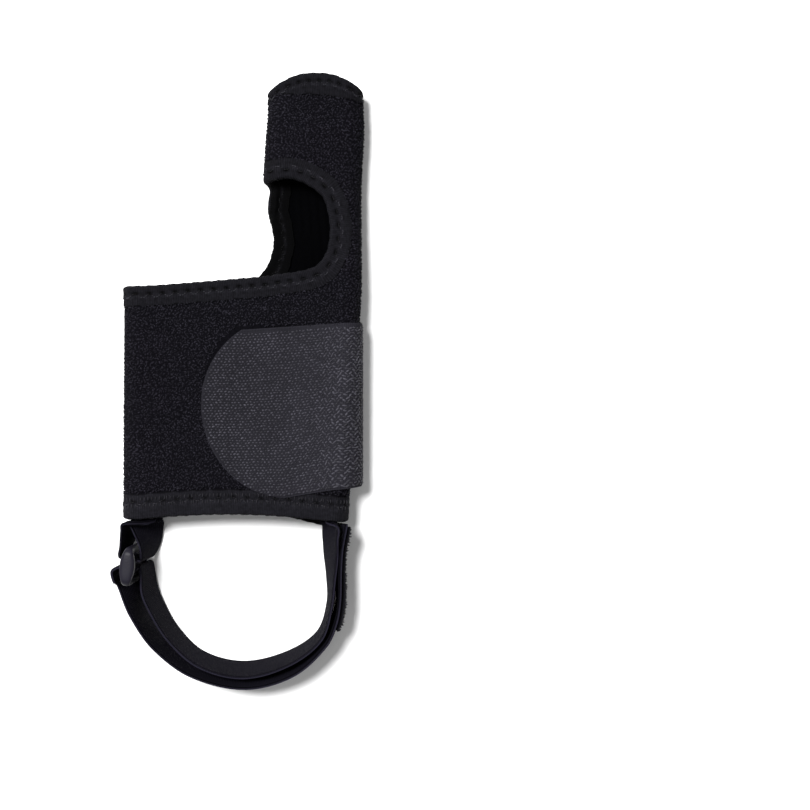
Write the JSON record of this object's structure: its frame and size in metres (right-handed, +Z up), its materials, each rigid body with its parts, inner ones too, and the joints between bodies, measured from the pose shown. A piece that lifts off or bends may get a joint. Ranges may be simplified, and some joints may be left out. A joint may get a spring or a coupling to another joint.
{
  "type": "bunion night splint",
  "caption": "Soft forefoot wrap with a sleeve for the big toe, a hook-tape closure flap and an elastic heel strap through a plastic ring",
  "frame": {"origin": "centre of the footprint, on the surface that the splint lies on", "axes": "+Y towards the toe end, +X towards the inner fold that the flap closes round, +Z up through the front layer"},
  "size_m": [0.1118, 0.2722, 0.0288],
  "materials": {
    "plush": "black brushed loop pile, matt with a faint sheen",
    "knit_tape": "fine black knit binding tape with zigzag stitching",
    "hook_tape": "dark grey woven hook tape with a dimpled face",
    "elastic": "black ribbed elastic webbing",
    "hook_patch": "black rough hook patch",
    "ring_plastic": "charcoal moulded plastic, satin"
  },
  "bodies": {
    "root": {"sleeve": "plush", "toe_end_binding": "knit_tape", "toe_web_binding": "knit_tape", "heel_edge_binding": "knit_tape", "closure_flap": "hook_tape", "heel_strap": "elastic", "strap_end_patch": "hook_patch", "strap_ring": "ring_plastic", "ring_tab": "elastic"}
  },
  "joints": []
}
